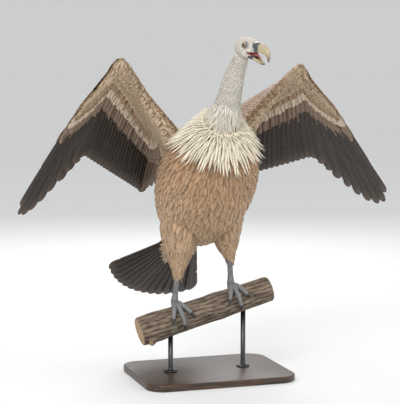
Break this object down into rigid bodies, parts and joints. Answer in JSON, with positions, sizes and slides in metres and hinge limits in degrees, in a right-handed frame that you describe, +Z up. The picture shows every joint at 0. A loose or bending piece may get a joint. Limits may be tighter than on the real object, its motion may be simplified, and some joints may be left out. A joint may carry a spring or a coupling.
{
  "type": "griffon vulture on a display stand",
  "caption": "Standing vulture with half-open wings, turned head and open hooked bill, gripping a short branch that two rods hold over a flat base.",
  "frame": {"origin": "middle of the underside of the stand's base, on the floor", "axes": "+Z up; the bird's body faces -Y, so its left side is toward +X and its right side toward -X; the branch lies along X and rises toward +X"},
  "size_m": [1.2896, 0.7382, 1.1002],
  "materials": {
    "contour_feathers": "matte",
    "covert_feathers": "matte",
    "flight_feathers": "satin",
    "ruff_plumes": "matte",
    "down": "matte",
    "bill_horn": "satin",
    "mouth_skin": "satin",
    "eye": "polished",
    "leg_scales": "matte",
    "claw_horn": "satin",
    "bark": "matte",
    "stand_wood": "satin",
    "rod_steel": "satin"
  },
  "bodies": {
    "root": {"stand_base": "stand_wood", "stand_rod_right": "rod_steel", "stand_rod_left": "rod_steel", "perch_branch": "bark", "trunk": "contour_feathers", "neck": "down", "head": "down", "ruff": "ruff_plumes", "tail": "flight_feathers", "bill_upper": "bill_horn", "bill_lower": "bill_horn", "tongue": "mouth_skin", "eye_right": "eye", "eye_left": "eye", "thigh_right": "contour_feathers", "tarsus_right": "leg_scales", "foot_right": "leg_scales", "claw_inner_right": "claw_horn", "claw_middle_right": "claw_horn", "claw_outer_right": "claw_horn", "claw_hind_right": "claw_horn", "wing_arm_right": "covert_feathers", "wing_hand_right": "covert_feathers", "wing_secondaries_right": "flight_feathers", "wing_primaries_right": "flight_feathers", "thigh_left": "contour_feathers", "tarsus_left": "leg_scales", "foot_left": "leg_scales", "claw_inner_left": "claw_horn", "claw_middle_left": "claw_horn", "claw_outer_left": "claw_horn", "claw_hind_left": "claw_horn", "wing_arm_left": "covert_feathers", "wing_hand_left": "covert_feathers", "wing_secondaries_left": "flight_feathers", "wing_primaries_left": "flight_feathers"}
  },
  "joints": []
}
